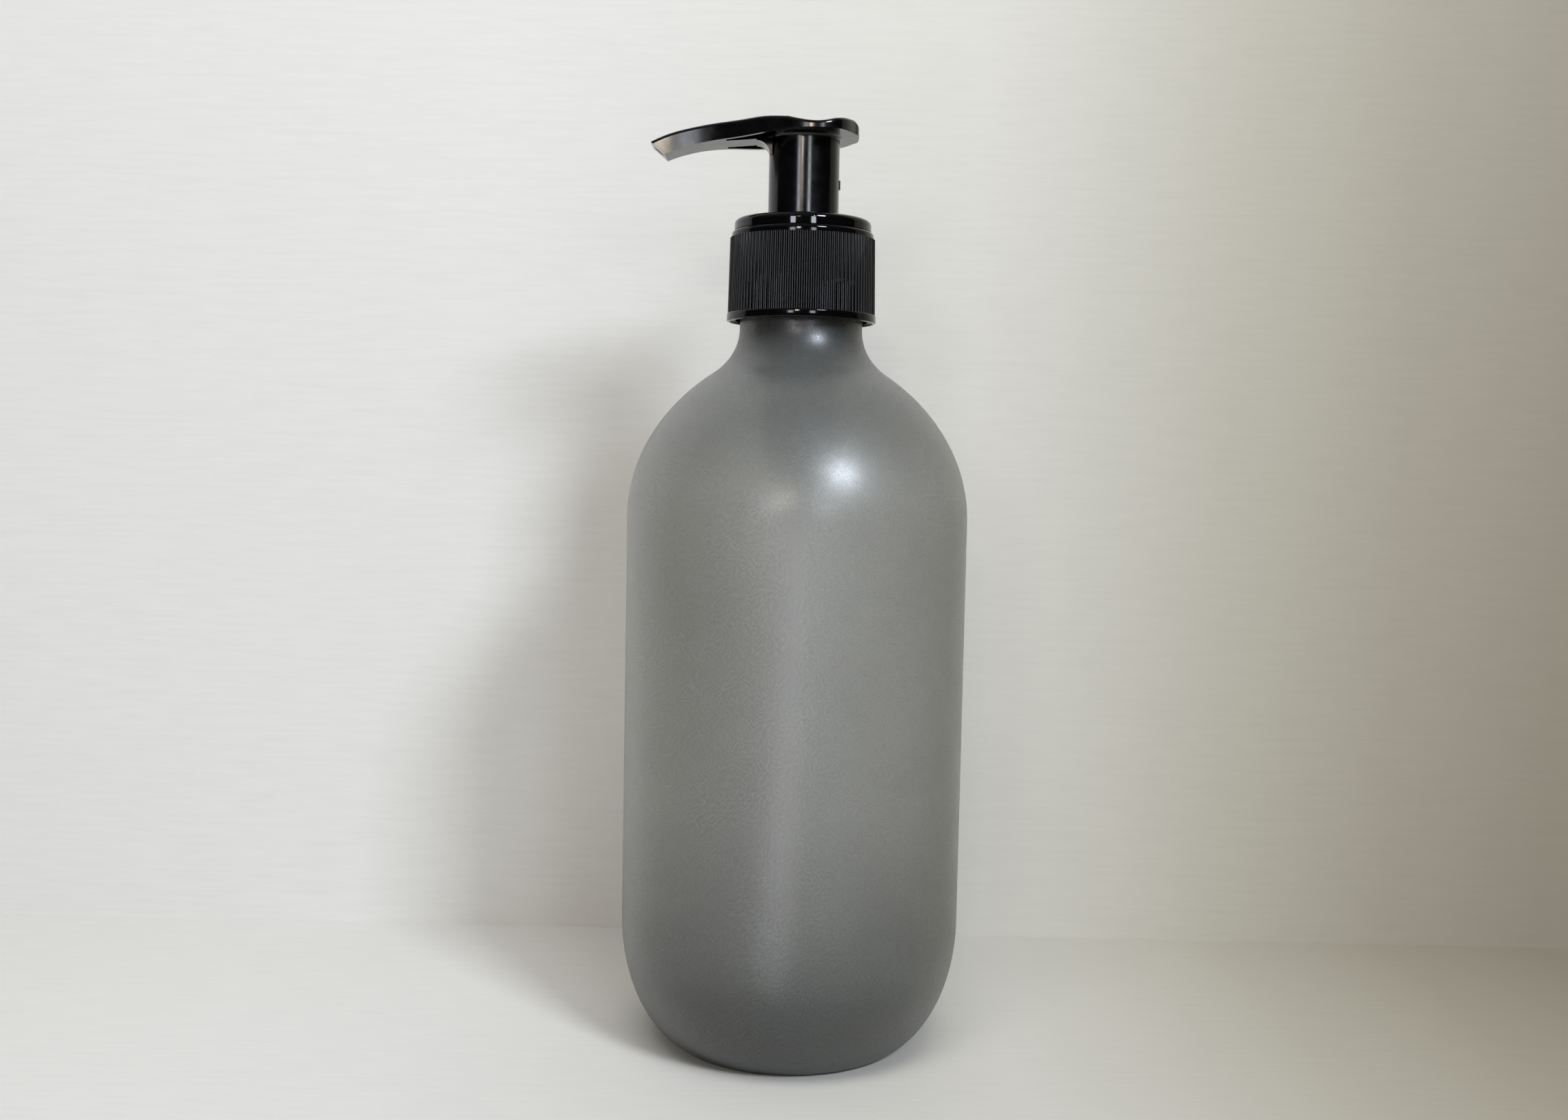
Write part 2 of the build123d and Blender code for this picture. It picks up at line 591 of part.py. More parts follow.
def make_actuator():
    """Head with arm and spout, skirt, stem socket, duct and lock lug, moulded in one."""
    body = head_blank() - head_pockets() + head_skirt() + spout_root_blend()
    body += ring(socket_r, stem_r + stem_gap, roof_z - socket_len, roof_z + sink / 10)
    lug = block(skirt_r - sink, lug_r, -lug_w / 2, lug_w / 2, -lug_h / 2, lug_h / 2)
    body += Pos(0, 0, collar_top_z + lug_z) * lug
    for passage in head_duct():
        body -= passage
    return body - rod(stem_r + stem_gap, roof_z - socket_len - 1, stem_top_z + seal_gap)


parts = {
    "bottle": make_bottle,
    "closure": make_closure,
    "lock_collar": make_lock_collar,
    "gasket": make_gasket,
    "housing": make_housing,
    "inlet_ball": make_inlet_ball,
    "dip_tube": make_dip_tube,
    "stem": make_stem,
    "piston": make_piston,
    "piston_seat": make_piston_seat,
    "spring": make_spring,
    "actuator": make_actuator,
}

os.makedirs("parts", exist_ok=True)
for name, make in parts.items():
    shape = make()
    export_step(shape, f"parts/{name}.step")
    print(name, round(shape.volume, 1), len(shape.solids()))
print("levels", {"neck_top": neck_top_z, "collar_top": collar_top_z, "ledge": ledge_z, "seat": seat_z,
                 "tail": tail_z, "piston": piston_z, "plate": plate_z})
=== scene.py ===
"""Looks of a pump bottle for massage oil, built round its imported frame.

The bottle stands on the origin with +Z up and its nozzle towards -X. Every length is in metres unless
its name ends in _mm. Each sub-assembly is a class that dresses its pieces, each finish is a frozen
class named for the real material, and the studio holds the shelf, the wall, the lamps and the camera.
"""

import logging
import math
from dataclasses import dataclass, field
from enum import Enum
from typing import Any, Protocol

import bmesh
import bpy
from mathutils import Matrix, Vector


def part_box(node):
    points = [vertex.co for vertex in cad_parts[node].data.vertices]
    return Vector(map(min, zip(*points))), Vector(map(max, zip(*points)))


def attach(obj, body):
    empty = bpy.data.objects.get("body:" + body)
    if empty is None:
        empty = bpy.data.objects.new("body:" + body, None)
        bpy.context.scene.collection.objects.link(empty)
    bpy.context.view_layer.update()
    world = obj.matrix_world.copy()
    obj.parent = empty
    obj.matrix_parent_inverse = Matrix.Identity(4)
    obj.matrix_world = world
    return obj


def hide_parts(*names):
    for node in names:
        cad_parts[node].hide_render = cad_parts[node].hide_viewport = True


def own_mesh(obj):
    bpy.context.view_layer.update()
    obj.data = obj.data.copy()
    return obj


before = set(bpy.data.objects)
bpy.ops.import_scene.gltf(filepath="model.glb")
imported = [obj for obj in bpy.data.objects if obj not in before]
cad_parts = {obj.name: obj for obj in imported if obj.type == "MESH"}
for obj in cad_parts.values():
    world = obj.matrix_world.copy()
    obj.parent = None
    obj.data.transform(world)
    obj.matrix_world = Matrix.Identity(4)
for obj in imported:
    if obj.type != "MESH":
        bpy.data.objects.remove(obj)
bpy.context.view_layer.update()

MM = 0.001
WELD_MM = 0.002

logging.basicConfig(level=logging.INFO, format="%(message)s")
log = logging.getLogger("pump_bottle")


# ---------------------------------------------------------------- shared helpers
def linear_colour(hex_colour: str) -> tuple[float, float, float, float]:
    """Turns an sRGB hex colour into linear light.

    Args:
        hex_colour: A colour such as "#1A1A1C".

    Returns:
        Linear red, green, blue and an alpha of 1.
    """
    channels = [int(hex_colour[place:place + 2], 16) / 255 for place in (1, 3, 5)]
    bright = [value / 12.92 if value <= 0.04045 else ((value + 0.055) / 1.055) ** 2.4 for value in channels]
    return (*bright, 1.0)


def per_metre(size_mm: float) -> float:
    """Pattern scale whose features are about size_mm across."""
    return 1 / (size_mm * MM)


def add_node(tree: bpy.types.NodeTree, kind: str, settings: dict[str, Any] | None = None,
             inputs: dict[int | str, Any] | tuple[Any, ...] = (),
             stops: tuple[tuple[float, str], ...] = ()) -> bpy.types.Node:
    """Adds one shader node with its settings and links.

    Args:
        tree: The node tree that takes the node.
        kind: The node's type, such as "ShaderNodeBump".
        settings: The node's own settings by name.
        inputs: Plain values, sockets to link from, or nodes whose first output is linked, by input
            name or place, or as a tuple in the order of the inputs.
        stops: Place from 0 to 1 and hex colour of each stop, for a colour ramp.

    Returns:
        The new node.
    """
    node = tree.nodes.new(kind)
    for name, value in (settings or {}).items():
        setattr(node, name, value)
    for name, value in (inputs.items() if isinstance(inputs, dict) else enumerate(inputs)):
        source = value.outputs[0] if isinstance(value, bpy.types.Node) else value
        if isinstance(source, bpy.types.NodeSocket):
            tree.links.new(source, node.inputs[name])
        else:
            node.inputs[name].default_value = source
    for place in range(2, len(stops)):
        node.color_ramp.elements.new(stops[place][0])
    for element, (place, colour) in zip(node.color_ramp.elements if stops else (), stops):
        element.position = place
        element.color = linear_colour(colour)
    return node


def new_material(name: str) -> tuple[bpy.types.Material, bpy.types.NodeTree, bpy.types.NodeSocket]:
    """Starts an empty material.

    Args:
        name: The material's name.

    Returns:
        The material, its node tree and the socket that gives coordinates in metres.
    """
    material = bpy.data.materials.new(name)
    material.use_nodes = True
    tree = material.node_tree
    tree.nodes.clear()
    return material, tree, add_node(tree, "ShaderNodeTexCoord").outputs["Object"]


def finish_material(tree: bpy.types.NodeTree, inputs: dict[str, Any]) -> None:
    """Closes a material with its Principled shader.

    Args:
        tree: The material's node tree.
        inputs: The shader's values and links by input name.
    """
    shader = add_node(tree, "ShaderNodeBsdfPrincipled", inputs=inputs)
    add_node(tree, "ShaderNodeOutputMaterial", inputs=(shader,))


# ---------------------------------------------------------------- finishes
class Finish(Protocol):
    """A finish that can make its material."""

    def material(self) -> bpy.types.Material:
        """Makes the material."""


@dataclass(frozen=True)
class FrostedPet:
    """Polyethylene terephthalate (PET), tinted grey and stretch-blown in a sand-blasted mould.

    The blasted outside spreads each lamp into a soft glow and hides sharp shapes. The inside is
    smoother, so the tube still shows through the wall as a pale band with soft edges.

    Attributes:
        tints_with_painted_shade: Share of the height and colour of the light that has passed: dark at the
            foot, partly for the thicker wall there and partly as painted shade of the shadowed shelf seen
            through the bottom, palest in the middle, and darker again at the neck and under the closure, as
            painted shade of the black closure.
        blasted_roughness: Roughness of the outside where the grain bites.
        spared_roughness: Roughness of the outside between the grains.
        smooth_roughness: Roughness of the inside.
        clear_share: Share of light that passes; the rest is scattered back as a milky grey.
        ior: Refractive index of PET.
        grain_mm: Blasted grain, a little coarser than the real 0.05 mm.
        streak_mm: Width of the slow streaks that blowing leaves in the wall.
        height: Height over which the tint changes.
    """

    # painted shade: the dark stops at the foot and at the neck under the closure stand in for shadow, not
    # only for thicker wall
    tints_with_painted_shade: tuple[tuple[float, str], ...] = (
        (0.0, "#7A7E7D"), (0.063, "#929491"), (0.10, "#9C9E9B"), (0.135, "#B0B1AD"), (0.22, "#C6C6C2"),
        (0.33, "#D6D6D2"), (0.70, "#D6D6D2"), (0.85, "#ACAEAB"), (0.90, "#7C7E7C"))
    blasted_roughness: float = 0.42
    spared_roughness: float = 0.26
    smooth_roughness: float = 0.20
    clear_share: float = 0.90
    ior: float = 1.57
    grain_mm: float = 0.12
    streak_mm: float = 22.0
    height: float = 0.171

    def wall_tint_with_painted_shade(self, tree: bpy.types.NodeTree, place: bpy.types.NodeSocket) -> bpy.types.Node:
        """Tint that darkens towards the thicker neck and heel, and as painted shade at the foot and under the
        closure, with slow streaks from blowing.

        Args:
            tree: The node tree that takes it.
            place: Coordinates in metres.

        Returns:
            The node that gives the colour.
        """
        parts = add_node(tree, "ShaderNodeSeparateXYZ", inputs=(place,))
        up = add_node(tree, "ShaderNodeMapRange", inputs=(parts.outputs["Z"], 0.0, self.height))
        # this ramp paints the shade at the foot and under the closure into the tint
        ramp = add_node(tree, "ShaderNodeValToRGB", inputs=(up,), stops=self.tints_with_painted_shade)
        streaks = add_node(tree, "ShaderNodeTexNoise", inputs={
            "Vector": place, "Scale": per_metre(self.streak_mm), "Detail": 1.0})
        shade = add_node(tree, "ShaderNodeMapRange", inputs=(streaks, 0.3, 0.7, 0.96, 1.03))
        return add_node(tree, "ShaderNodeVectorMath", {"operation": "SCALE"}, {0: ramp, "Scale": shade})

    def material(self) -> bpy.types.Material:
        """Makes the blasted outside's material."""
        material, tree, place = new_material("blasted_pet")
        grain = add_node(tree, "ShaderNodeTexNoise", inputs={
            "Vector": place, "Scale": per_metre(self.grain_mm), "Detail": 1.0})
        roughness = add_node(tree, "ShaderNodeMapRange", inputs=(
            grain, 0.38, 0.5, self.spared_roughness, self.blasted_roughness))
        bump = add_node(tree, "ShaderNodeBump", inputs={
            "Strength": 0.12, "Distance": 0.02 * MM, "Height": grain})
        finish_material(tree, {
            "Base Color": self.wall_tint_with_painted_shade(tree, place), "Roughness": roughness, "IOR": self.ior,
            "Transmission Weight": self.clear_share, "Normal": bump})
        return material

    def inside_material(self) -> bpy.types.Material:
        """Makes the smooth inside's material, faintly rippled by the blowing air."""
        material, tree, place = new_material("blown_pet_inside")
        ripple = add_node(tree, "ShaderNodeTexNoise", inputs={
            "Vector": place, "Scale": per_metre(self.streak_mm / 4), "Detail": 1.0})
        bump = add_node(tree, "ShaderNodeBump", inputs={
            "Strength": 0.1, "Distance": 0.05 * MM, "Height": ripple})
        finish_material(tree, {
            "Base Color": self.wall_tint_with_painted_shade(tree, place), "Roughness": self.smooth_roughness, "IOR": self.ior,
            "Transmission Weight": self.clear_share, "Normal": bump})
        return material


class MouldPolish(Enum):
    """How the steel that a black piece is moulded against was finished, as its roughness."""

    MIRROR = 0.05
    BUFFED = 0.08
    DRAWN = 0.16


@dataclass(frozen=True)
class BlackPolypropylene:
    """Glossy black polypropylene (PP), injection moulded.

    The eye gets deep black with sharp lamp reflections that waver a little, because the wall sinks
    slightly as it cools, and a faint haze where the polish is not even.

    Attributes:
        polish: Finish of the mould.
        colour: Colour under the gloss.
        flow_colour: Colour in the faint flow marks.
        ior: Refractive index. PP's own is 1.49, and the closure has less, so that its ribs stay deep black.
        sink_mm: Size of the slow waves that cooling leaves.
        peel_mm: Size of the fine ripple in the skin.
        haze_mm: Size of the patches where the polish varies.
    """

    polish: MouldPolish = MouldPolish.BUFFED
    colour: str = "#040404"
    flow_colour: str = "#070708"
    ior: float = 1.49
    sink_mm: float = 7.0
    peel_mm: float = 0.6
    haze_mm: float = 3.0

    def material(self) -> bpy.types.Material:
        """Makes the black plastic's material."""
        material, tree, place = new_material(f"black_polypropylene_{self.polish.name.lower()}")
        cloud = add_node(tree, "ShaderNodeTexNoise", inputs={
            "Vector": place, "Scale": per_metre(self.haze_mm), "Detail": 3.0})
        shade = add_node(tree, "ShaderNodeValToRGB", inputs=(cloud,), stops=(
            (0.3, self.colour), (0.7, self.flow_colour)))
        haze = add_node(tree, "ShaderNodeMapRange", inputs=(
            cloud, 0.35, 0.7, 0.85 * self.polish.value, 1.3 * self.polish.value))
        waves = add_node(tree, "ShaderNodeTexNoise", inputs={
            "Vector": place, "Scale": per_metre(self.sink_mm), "Detail": 0.0})
        sink = add_node(tree, "ShaderNodeBump", inputs={
            "Strength": 0.35, "Distance": 0.05 * MM, "Height": waves})
        skin = add_node(tree, "ShaderNodeTexNoise", inputs={
            "Vector": place, "Scale": per_metre(self.peel_mm), "Detail": 1.0})
        peel = add_node(tree, "ShaderNodeBump", inputs={
            "Strength": 0.10, "Distance": 0.01 * MM, "Height": skin, "Normal": sink})
        finish_material(tree, {"Base Color": shade, "Roughness": haze, "IOR": self.ior, "Normal": peel})
        return material


@dataclass(frozen=True)
class NaturalPlastic:
    """Uncoloured polyolefin, moulded or extruded: milky, half clear and a little waxy.

    The eye gets a soft white body that lets light through and shows no sharp reflection.

    Attributes:
        name: The material's name.
        colour: Body colour.
        clear_share: Share of light that passes.
        roughness: Surface roughness.
        ior: Refractive index. The dip tube's is under its real 1.51, so that its edges stay soft.
        flow_mm: Size of the cloudy flow marks.
        stretch: Length of the marks over their width, along the piece.
        glow: Small light of its own, because the lamps hardly reach a piece behind frosted walls.
    """

    name: str = "natural_polypropylene"
    colour: str = "#DEE1DD"
    clear_share: float = 0.35
    roughness: float = 0.38
    ior: float = 1.50
    flow_mm: float = 2.5
    stretch: float = 1.0
    glow: float = 0.0

    def material(self) -> bpy.types.Material:
        """Makes the natural plastic's material."""
        material, tree, place = new_material(self.name)
        along = add_node(tree, "ShaderNodeMapping", inputs={
            "Vector": place, "Scale": (1.0, 1.0, 1 / self.stretch)})
        cloud = add_node(tree, "ShaderNodeTexNoise", inputs={
            "Vector": along, "Scale": per_metre(self.flow_mm), "Detail": 3.0})
        shade = add_node(tree, "ShaderNodeMapRange", inputs=(cloud, 0.3, 0.7, 0.93, 1.02))
        body = add_node(tree, "ShaderNodeVectorMath", {"operation": "SCALE"},
                        {0: linear_colour(self.colour)[:3], "Scale": shade})
        rough = add_node(tree, "ShaderNodeMapRange", inputs=(
            cloud, 0.3, 0.7, self.roughness - 0.05, self.roughness + 0.05))
        bump = add_node(tree, "ShaderNodeBump", inputs={
            "Strength": 0.2, "Distance": 0.02 * MM, "Height": cloud})
        finish_material(tree, {
            "Base Color": body, "Roughness": rough, "IOR": self.ior, "Normal": bump,
            "Transmission Weight": self.clear_share, "Emission Color": linear_colour(self.colour),
            "Emission Strength": self.glow})
        return material


@dataclass(frozen=True)
class FoamedPolyethylene:
    """Foamed polyethylene sheet, die-cut: matt white with a skin of closed cells.

    Attributes:
        colour: Body colour.
        cell_colour: Colour between the cells.
        cell_mm: Cell size.
        roughness: Surface roughness.
    """

    colour: str = "#E6E5DF"
    cell_colour: str = "#C9C8C2"
    cell_mm: float = 0.30
    roughness: float = 0.75

    def material(self) -> bpy.types.Material:
        """Makes the foam's material."""
        material, tree, place = new_material("foamed_polyethylene")
        cells = add_node(tree, "ShaderNodeTexVoronoi", {"feature": "DISTANCE_TO_EDGE"},
                         {"Vector": place, "Scale": per_metre(self.cell_mm)})
        shade = add_node(tree, "ShaderNodeValToRGB", inputs=(cells,), stops=(
            (0.0, self.cell_colour), (0.25, self.colour)))
        bump = add_node(tree, "ShaderNodeBump", inputs={
            "Strength": 0.5, "Distance": 0.05 * MM, "Height": cells})
        finish_material(tree, {"Base Color": shade, "Roughness": self.roughness, "Normal": bump})
        return material


@dataclass(frozen=True)
class SpringSteel:
    """Stainless spring wire, cold drawn: bright, with fine drawing lines along the wire.

    Attributes:
        colour: Colour of the metal.
        roughness: Surface roughness across the lines.
        line_mm: Spacing of the drawing lines, drawn coarser than the real ones so that they show.
    """

    colour: str = "#C4C2BC"
    roughness: float = 0.24
    line_mm: float = 0.08

    def material(self) -> bpy.types.Material:
        """Makes the spring wire's material."""
        material, tree, place = new_material("drawn_spring_steel")
        squeezed = add_node(tree, "ShaderNodeMapping", inputs={"Vector": place, "Scale": (0.2, 0.2, 1.0)})
        lines = add_node(tree, "ShaderNodeTexNoise", inputs={
            "Vector": squeezed, "Scale": per_metre(self.line_mm), "Detail": 1.0})
        rough = add_node(tree, "ShaderNodeMapRange", inputs=(
            lines, 0.3, 0.7, self.roughness - 0.06, self.roughness + 0.08))
        shade = add_node(tree, "ShaderNodeMapRange", inputs=(lines, 0.3, 0.7, 0.9, 1.03))
        body = add_node(tree, "ShaderNodeVectorMath", {"operation": "SCALE"},
                        {0: linear_colour(self.colour)[:3], "Scale": shade})
        finish_material(tree, {"Base Color": body, "Roughness": rough, "Metallic": 1.0})
        return material


@dataclass(frozen=True)
class SodaLimeGlass:
    """Soda-lime glass ball, ground and tumbled: clear with a faint green and fine grinding marks.

    Attributes:
        colour: Tint of the glass.
        mark_colour: Tint in the grinding marks.
        ior: Refractive index of soda-lime glass.
        mark_mm: Size of the grinding marks.
    """

    colour: str = "#E3F0EA"
    mark_colour: str = "#D6E6DF"
    ior: float = 1.52
    mark_mm: float = 0.25

    def material(self) -> bpy.types.Material:
        """Makes the glass ball's material."""
        material, tree, place = new_material("soda_lime_glass")
        marks = add_node(tree, "ShaderNodeTexNoise", inputs={
            "Vector": place, "Scale": per_metre(self.mark_mm)})
        rough = add_node(tree, "ShaderNodeMapRange", inputs=(marks, 0.45, 0.7, 0.02, 0.14))
        shade = add_node(tree, "ShaderNodeValToRGB", inputs=(marks,), stops=(
            (0.3, self.colour), (0.8, self.mark_colour)))
        finish_material(tree, {
            "Base Color": shade, "Roughness": rough, "IOR": self.ior, "Transmission Weight": 1.0})
        return material


@dataclass(frozen=True)
class PaintedBoard:
    """Board with matt white emulsion, brushed on: pale, with a faint grain of bristle marks.

    It is painted a little darker and warmer towards the right, as painted shade for the light that falls off
    across the wall. Only its painted side shows, so that the bottle can also be seen from behind the wall.

    Attributes:
        colour: Paint colour.
        low_colour: Colour in the hollows of the brush marks.
        bristle_mm: Spacing of the bristle marks.
        roughness: Surface roughness.
        painted_shade_span: Sideways places in metres where the painted shade starts and where it is darkest.
        painted_shade_ramp: Share of that span and colour that the paint is multiplied by, as painted shade.
    """

    colour: str = "#D2D0CA"
    low_colour: str = "#CECCC6"
    bristle_mm: float = 1.2
    roughness: float = 0.62
    # painted shade: the paint is darkened and warmed towards the right to stand in for light falling off
    # across the wall
    painted_shade_span: tuple[float, float] = (-0.08, 0.20)
    painted_shade_ramp: tuple[tuple[float, str], ...] = (
        (0.0, "#FFFFFF"), (0.45, "#F2F0EB"), (0.69, "#CECABD"), (0.85, "#B7B0A1"), (1.0, "#A79F8F"))

    def material(self) -> bpy.types.Material:
        """Makes the painted board's material."""
        material, tree, place = new_material("painted_board")
        along = add_node(tree, "ShaderNodeMapping", inputs={"Vector": place, "Scale": (0.08, 1.0, 1.0)})
        marks = add_node(tree, "ShaderNodeTexNoise", inputs={
            "Vector": along, "Scale": per_metre(self.bristle_mm), "Detail": 4.0, "Roughness": 0.6})
        shade = add_node(tree, "ShaderNodeValToRGB", inputs=(marks,), stops=(
            (0.25, self.low_colour), (0.6, self.colour)))
        parts = add_node(tree, "ShaderNodeSeparateXYZ", inputs=(place,))
        # painted shade: darkens the paint across X towards the right
        across = add_node(tree, "ShaderNodeMapRange", inputs=(parts.outputs["X"], *self.painted_shade_span))
        painted_shade_ramp = add_node(tree, "ShaderNodeValToRGB", inputs=(across,), stops=self.painted_shade_ramp)
        paint = add_node(tree, "ShaderNodeVectorMath", {"operation": "MULTIPLY"}, (shade, painted_shade_ramp))
        bump = add_node(tree, "ShaderNodeBump", inputs={
            "Strength": 0.15, "Distance": 0.1 * MM, "Height": marks})
        geometry = add_node(tree, "ShaderNodeNewGeometry")
        front_side = add_node(tree, "ShaderNodeMath", {"operation": "SUBTRACT"},
                              (1.0, geometry.outputs["Backfacing"]))
        finish_material(tree, {
            "Alpha": front_side, "Base Color": paint, "Roughness": self.roughness, "Normal": bump})
        return material


# ---------------------------------------------------------------- sub-assemblies
def dress(node: str, material: bpy.types.Material) -> bpy.types.Object:
    """Gives one frame node its finish.

    Args:
        node: Name of the node.
        material: The finish's material.

    Returns:
        The node's object.
    """
    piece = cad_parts[node]
    for place in piece.material_slots:
        place.material = material
    return piece


def narrowest_radius(node: str) -> float:
    """Radius in millimetres of the largest circle round the Z axis inside a node's box, seen from above."""
    low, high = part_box(node)
    return min(-low.x, -low.y, high.x, high.y) / MM


def stand_in(piece: bpy.types.Object, node: str, body: str) -> None:
    """Lets a new piece stand for one frame node.

    Args:
        piece: The new piece, in place.
        node: Name of the node that it replaces.
        body: Body that it rides on.
    """
    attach(piece, body)
    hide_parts(node)
    low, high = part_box(node)
    size = [round((top - bottom) / MM, 1) for top, bottom in zip(high, low)]
    finish = piece.data.materials[0].name
    log.info("%s: %s, for %s of %s mm, rides on %s", piece.name, finish, node, size, body)


class TurnedMesh:
    """Closed mesh built up from rings round the Z axis, each joined to the one before."""

    def __init__(self, name: str) -> None:
        """Starts an empty mesh.

        Args:
            name: Name of the piece.
        """
        self.name = name
        self.sheet = bmesh.new()
        self.rings: list[list[bmesh.types.BMVert]] = []

    def join(self, low: list[bmesh.types.BMVert], high: list[bmesh.types.BMVert], slot: int) -> None:
        """Fills the band between two rings whose counts are equal, or one a multiple of the other.

        Args:
            low: Ring that comes first along the outline.
            high: Ring that follows it.
            slot: Material slot of the band.
        """
        steps = max(len(low), len(high)) if 1 in (len(low), len(high)) else min(len(low), len(high))
        for place in range(steps):
            corners = []
            for ring, order in ((low, 1), (high, -1)):
                share = max(len(ring) // steps, 1)
                run = [ring[(place * share + step) % len(ring)] for step in range(share + 1)]
                corners += run[::order]
            face = self.sheet.faces.new(list(dict.fromkeys(corners)))
            face.smooth = True
            face.material_index = slot

    def add_ring(self, points: list[tuple[float, float, float]], slot: int = 0) -> None:
        """Adds a ring and joins it to the last one.

        Args:
            points: Radius and height in millimetres and angle in radians of each point; one point
                on the axis closes the end.
            slot: Material slot of the band that leads to it.
        """
        ring = [self.sheet.verts.new((
                    radius * MM * math.cos(angle), radius * MM * math.sin(angle), height * MM))
                for radius, height, angle in points]
        if self.rings:
            self.join(self.rings[-1], ring, slot)
        self.rings.append(ring)

    def build(self, materials: list[bpy.types.Material], sharp_deg: float) -> bpy.types.Object:
        """Turns the rings into a piece.

        Args:
            materials: Material of each slot.
            sharp_deg: Edges that turn by more than this stay sharp.

        Returns:
            The piece.
        """
        bmesh.ops.remove_doubles(self.sheet, verts=self.sheet.verts, dist=WELD_MM * MM)
        self.sheet.normal_update()
        for edge in self.sheet.edges:
            edge.smooth = edge.calc_face_angle(0.0) < math.radians(sharp_deg)
        mesh = bpy.data.meshes.new(self.name)
        self.sheet.to_mesh(mesh)
        self.sheet.free()
        for material in materials:
            mesh.materials.append(material)
        piece = bpy.data.objects.new(self.name, mesh)
        bpy.context.scene.collection.objects.link(piece)
        return piece


@dataclass(frozen=True)
class ScrewThread:
    """Right-hand screw thread of the neck, six turns to the inch, in millimetres.

    Attributes:
        start: Height of its middle at angle zero.
        depth: Root to crest.
        pitch: Rise in one turn.
        turns: Number of turns.
        half_crest: Half the width of its crest.
        half_root: Half the width of its root.
        run_out: Share of a turn over which each end fades.
    """

    start: float
    depth: float = 1.1
    pitch: float = 4.23
    turns: float = 1.5
    half_crest: float = 0.5
    half_root: float = 1.135
    run_out: float = 0.06

    def rise(self, height: float, angle: float) -> float:
        """How far the thread stands out at one point.

        Args:
            height: Height in millimetres.
            angle: Angle round the axis in radians, from 0 to a full turn.

        Returns:
            Distance over the root in millimetres.
        """
        turn = angle / math.tau
        climbed = (height - self.start) / self.pitch - turn
        nearest = round(climbed)
        offset = abs(climbed - nearest) * self.pitch
        along = nearest + turn
        flank = min(max((self.half_root - offset) / (self.half_root - self.half_crest), 0.0), 1.0)
        fade = min(max(min(along, self.turns - along) / self.run_out, 0.0), 1.0)
        return self.depth * flank * flank * (3 - 2 * flank) * fade


def oval_points(centre: tuple[float, float], axes: tuple[float, float], start: float, end: float,
                steps: int) -> list[tuple[float, float]]:
    """Points along an elliptic arc of the outline.

    Args:
        centre: Radius and height of its middle.
        axes: Semi-axes along the radius and the height.
        start: First angle in degrees.
        end: Last angle in degrees.
        steps: Number of spans.

    Returns:
        Radius and height of each point.
    """
    angles = [math.radians(start + (end - start) * step / steps) for step in range(steps + 1)]
    return [(centre[0] + axes[0] * math.cos(angle), centre[1] + axes[1] * math.sin(angle))
            for angle in angles]


